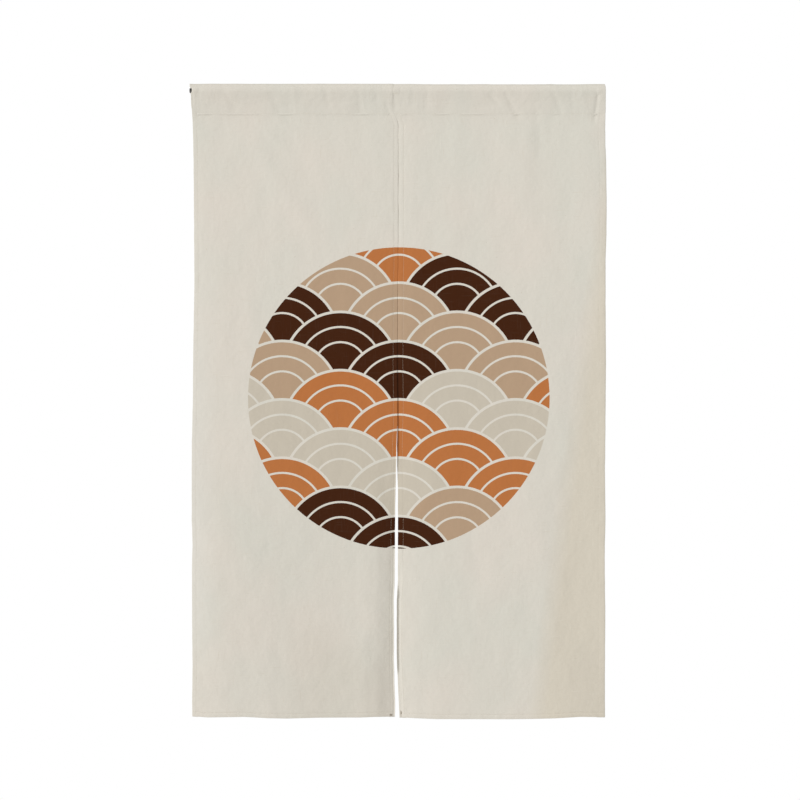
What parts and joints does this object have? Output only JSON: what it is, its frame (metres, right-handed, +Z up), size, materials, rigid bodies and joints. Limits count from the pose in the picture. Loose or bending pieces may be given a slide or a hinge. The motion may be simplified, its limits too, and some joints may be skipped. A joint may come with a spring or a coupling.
{
  "type": "noren curtain and rod",
  "caption": "Cloth doorway curtain of two panels with a centre split, hung by a pocket on a plain dark rod.",
  "frame": {"origin": "centre of the rod's left end face", "axes": "+X along the rod to the right, +Y to the back of the curtain, +Z up; the printed front faces -Y"},
  "size_m": [0.8571, 0.0318, 1.3056],
  "materials": {
    "cream_cloth": "matt woven",
    "dark_metal": "satin"
  },
  "bodies": {
    "root": {"left_panel": "cream_cloth", "right_panel": "cream_cloth", "rod": "dark_metal"}
  },
  "joints": []
}
